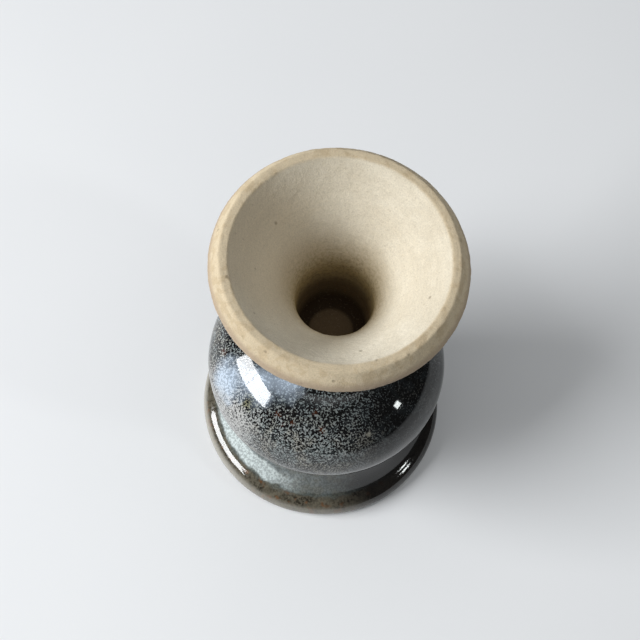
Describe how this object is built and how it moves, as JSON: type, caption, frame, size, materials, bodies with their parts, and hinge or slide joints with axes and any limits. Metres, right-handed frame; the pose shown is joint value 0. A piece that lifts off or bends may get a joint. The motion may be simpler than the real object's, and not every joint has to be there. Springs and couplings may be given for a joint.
{
  "type": "ceramic bud vase",
  "caption": "Footed stoneware bud vase on its mouth: flared bare-clay foot with a deep throat, speckled glazed bulb and brown rolled lip.",
  "frame": {"origin": "centre of the mouth's rim, on the surface that the vase rests on", "axes": "+Z runs through the neck and the bulb to the foot, which is uppermost; X and Y are free, because the vase is round. Turn it over about X to use it as a vase."},
  "size_m": [0.0806, 0.0806, 0.1265],
  "materials": {
    "bare_clay": "unglazed buff stoneware, sandy and matte, with faint throwing rings",
    "joint_slip": "fired slip, matte",
    "bowl_clay": "unglazed stoneware under the glaze, matte",
    "speckled_glaze": "glossy near-black glaze with dense pale grey speckle and blue pooling",
    "neck_glaze": "glossy mottled blue-green glaze",
    "lip_glaze": "glossy mottled olive and iron-brown glaze",
    "liner_glaze": "glossy grey-green liner glaze"
  },
  "bodies": {
    "root": {"clay_foot": "bare_clay", "luting_slip": "joint_slip", "clay_bowl": "bowl_clay", "body_glaze": "speckled_glaze", "neck_glaze": "neck_glaze", "lip_glaze": "lip_glaze", "liner_glaze": "liner_glaze"}
  },
  "joints": []
}
